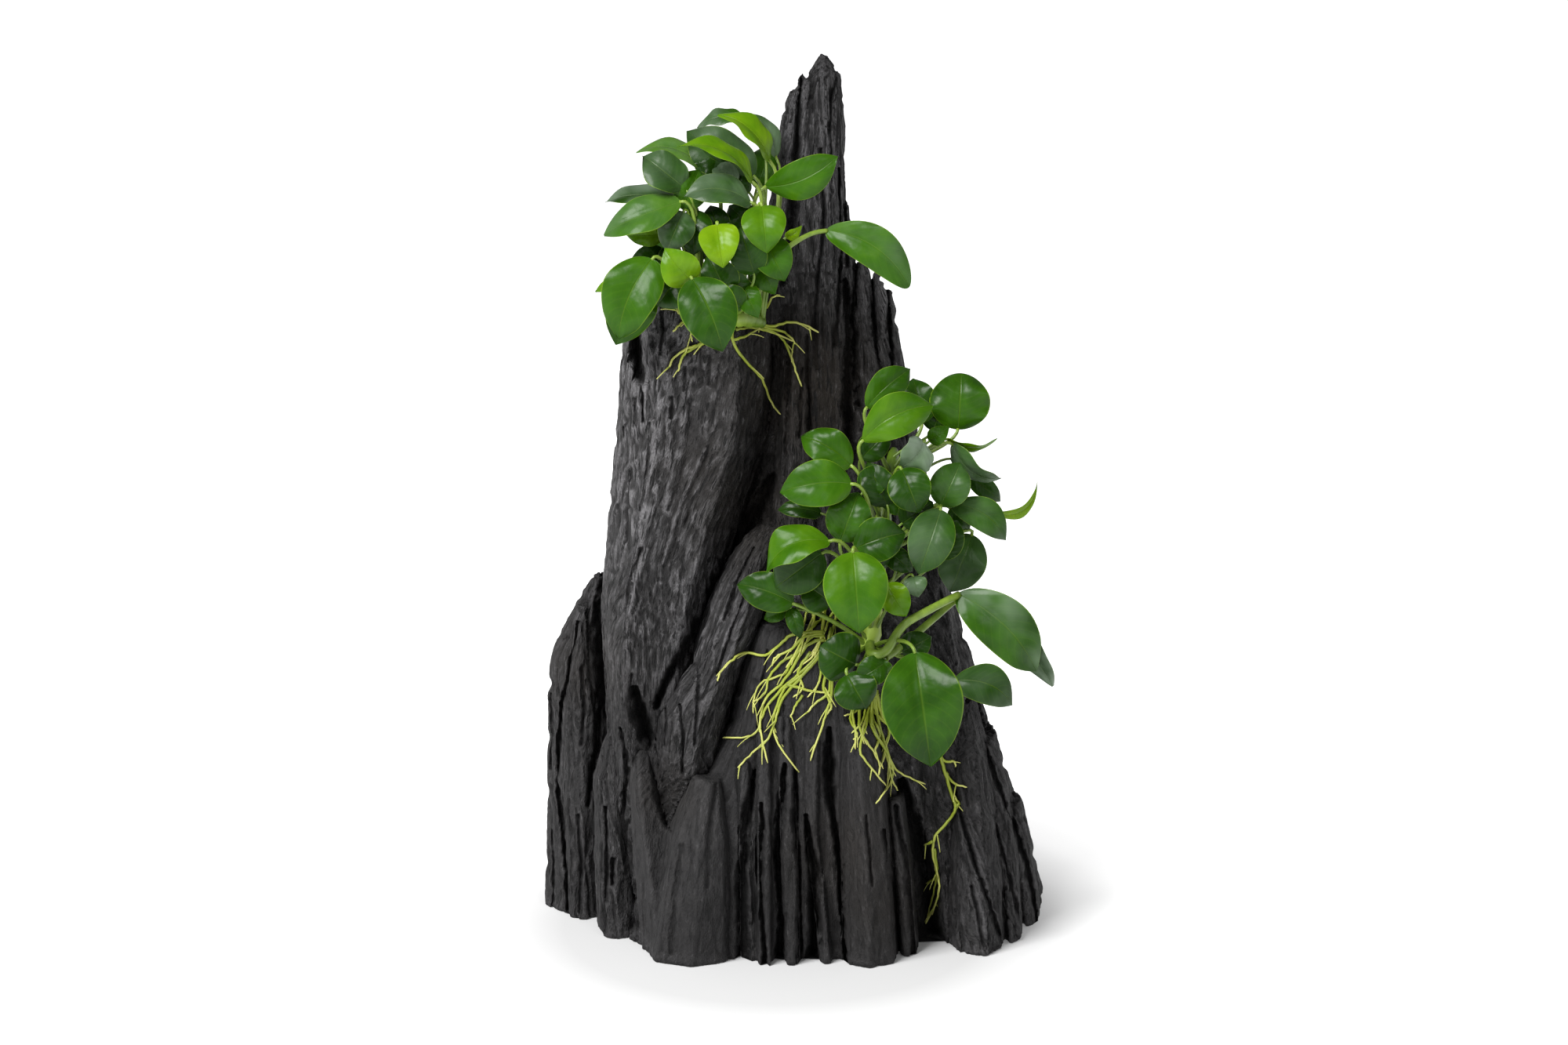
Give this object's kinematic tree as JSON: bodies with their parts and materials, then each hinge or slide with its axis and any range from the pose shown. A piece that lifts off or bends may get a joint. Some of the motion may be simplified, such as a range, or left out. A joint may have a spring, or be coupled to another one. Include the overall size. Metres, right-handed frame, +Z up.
{
  "type": "anubias nana on driftwood",
  "caption": "Charred, splintered driftwood stump with a tall spire, standing on a flat cut base, with small glossy broad-leaved aquarium plants rooted on its rim and its front.",
  "frame": {"origin": "middle of the driftwood's flat cut base", "axes": "+Z up along the spire, -Y towards the side that carries the plants, +X to the right as seen from that side"},
  "size_m": [0.2347, 0.2081, 0.3984],
  "materials": {
    "driftwood": "matte charcoal black, split along the grain",
    "leaf": "glossy leathery green leaf",
    "young_leaf": "glossy yellow-green young leaf",
    "rhizome": "satin green stem",
    "root": "satin yellow-green root"
  },
  "bodies": {
    "root": {"driftwood_trunk": "driftwood", "driftwood_front_root": "driftwood", "driftwood_leaning_root": "driftwood", "driftwood_left_root": "driftwood", "driftwood_right_root": "driftwood", "driftwood_back_left_root": "driftwood", "driftwood_back_right_root": "driftwood", "upper_rhizome": "rhizome", "upper_roots": "root", "upper_leaf_front_left": "leaf", "upper_leaf_behind_front_left": "leaf", "upper_leaf_front_middle": "leaf", "upper_leaf_left_high": "leaf", "upper_leaf_left_grey": "leaf", "upper_leaf_left_top": "leaf", "upper_leaf_top_far_left": "leaf", "upper_leaf_arched_bright": "young_leaf", "upper_leaf_top_dark": "leaf", "upper_leaf_top_yellow": "young_leaf", "upper_leaf_before_spire": "leaf", "upper_leaf_heart": "leaf", "upper_leaf_bright_heart": "young_leaf", "upper_leaf_bright_cupped": "young_leaf", "upper_leaf_dark_low_left": "leaf", "upper_leaf_middle_grey": "leaf", "upper_leaf_right_low": "leaf", "upper_leaf_right_lowest": "leaf", "upper_leaf_low_dark": "leaf", "upper_leaf_long_stalked": "leaf", "lower_rhizome": "rhizome", "lower_left_roots": "root", "lower_middle_roots": "root", "lower_long_root": "root", "lower_leaf_top_left": "leaf", "lower_leaf_top_large": "leaf", "lower_leaf_top_round": "leaf", "lower_leaf_top_dark": "leaf", "lower_leaf_curled": "leaf", "lower_leaf_right_grey": "leaf", "lower_leaf_upper_middle": "leaf", "lower_leaf_dark_middle": "leaf", "lower_leaf_far_right_curl": "young_leaf", "lower_leaf_right_drip": "leaf", "lower_leaf_right_hanging": "leaf", "lower_leaf_centre_right": "leaf", "lower_leaf_centre_low": "leaf", "lower_leaf_centre_high": "leaf", "lower_leaf_left_high": "leaf", "lower_leaf_left_top": "leaf", "lower_leaf_left_arched": "young_leaf", "lower_leaf_left_dark": "leaf", "lower_leaf_far_left": "leaf", "lower_leaf_bright_front": "young_leaf", "lower_leaf_bright_pointed": "young_leaf", "lower_leaf_right_large": "leaf", "lower_leaf_right_large_behind": "leaf", "lower_leaf_right_dark": "leaf", "lower_leaf_largest": "leaf", "lower_leaf_round_dark": "leaf", "lower_leaf_low_dark": "leaf"}
  },
  "joints": []
}
